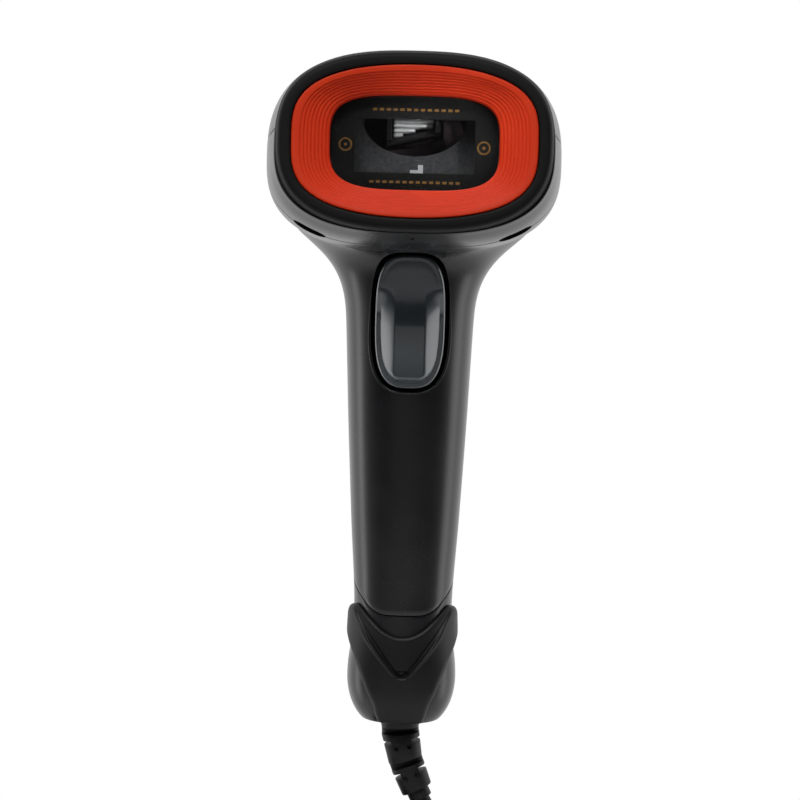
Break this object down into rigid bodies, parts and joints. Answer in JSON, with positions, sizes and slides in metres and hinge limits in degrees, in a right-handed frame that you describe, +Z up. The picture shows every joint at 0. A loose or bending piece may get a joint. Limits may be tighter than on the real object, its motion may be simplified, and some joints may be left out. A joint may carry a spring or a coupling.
{
  "type": "handheld barcode scanner",
  "caption": "Hand-held laser barcode scanner with a rounded scan head, a trigger grip, an internal scan engine and a coiled USB lead.",
  "frame": {"origin": "middle of the grip, on the handle's own axis", "axes": "+Z up with the scanner held upright, -Y the way it scans, +X right as seen from the front; the handle leans 10 degrees, its foot to +Y"},
  "size_m": [0.0673, 0.0871, 0.2566],
  "materials": {
    "gloss_black": "moulded black, semi-gloss",
    "matte_black": "fine matte texture",
    "orange_trim": "orange-red, satin",
    "trigger_grey": "slate grey, gloss",
    "window_glass": "clear, polished",
    "foam_black": "soft, matte",
    "board_green": "lacquered laminate",
    "steel": "bright, plated",
    "brass": "turned",
    "die_cast_grey": "grey, satin",
    "mirror_dark": "polished, filtered",
    "winding_silver": "wound wire, bright",
    "white_plastic": "plain",
    "lens_clear": "clear, polished",
    "cable_black": "soft satin jacket",
    "ribbon_amber": "polyimide film"
  },
  "bodies": {
    "housing": {"rear_housing": "gloss_black", "chin_shell": "gloss_black", "grip_front": "gloss_black", "tail_cup": "gloss_black", "tail_cap": "matte_black", "nose_bumper": "matte_black", "trim_ring": "orange_trim", "scan_window": "window_glass", "window_mask": "matte_black", "window_gasket": "foam_black", "nose_frame": "matte_black", "engine_chassis": "die_cast_grey", "engine_screw_left": "steel", "engine_screw_right": "steel", "aperture_plate": "die_cast_grey", "photodiode": "white_plastic", "drive_coil": "winding_silver", "coil_bobbin": "matte_black", "mirror_pin": "steel", "engine_board": "board_green", "beeper": "matte_black", "laser_module": "brass", "laser_lens": "lens_clear", "trigger_pin": "steel", "trigger_spring": "steel", "main_board": "board_green", "case_screw_upper": "steel", "case_screw_lower": "steel", "microswitch": "matte_black", "decoder_chip": "matte_black", "ribbon_connector": "white_plastic", "status_led": "white_plastic", "status_light_pipe": "lens_clear", "ribbon_cable": "ribbon_amber", "cable_jack": "matte_black", "cable_plug": "lens_clear", "strain_relief": "cable_black", "cable_lead": "cable_black", "cable_coil": "cable_black", "cable_tie": "foam_black", "cable_end": "cable_black", "usb_body": "cable_black", "usb_shell": "steel", "usb_tongue": "white_plastic"},
    "trigger": {"trigger": "trigger_grey"},
    "plunger": {"switch_plunger": "white_plastic"},
    "mirror": {"mirror_holder": "matte_black", "mirror_magnet": "steel", "collector_mirror": "mirror_dark"}
  },
  "joints": [
    {"name": "trigger_pull", "type": "hinge", "parent": "housing", "child": "trigger", "pos_m": [0, -0.01914, 0.05095], "axis": [1, 0, 0], "range_deg": [0, 7], "stiffness_Nm_per_rad": 0.5, "springref_deg": -2.86, "deforming": ["trigger_spring"]},
    {"name": "plunger_press", "type": "slide", "parent": "housing", "child": "plunger", "axis": [0, 0.9848, 0.1736], "range_m": [0, 0.0009]},
    {"name": "mirror_scan", "type": "hinge", "parent": "housing", "child": "mirror", "pos_m": [0, -0.0275, 0.08], "axis": [0, 0, 1], "range_deg": [-10, 10], "stiffness_Nm_per_rad": 0.002}
  ],
  "couplings": [
    {"joint": "plunger_press", "follows": "trigger_pull", "m_per_rad": 0.0073}
  ]
}
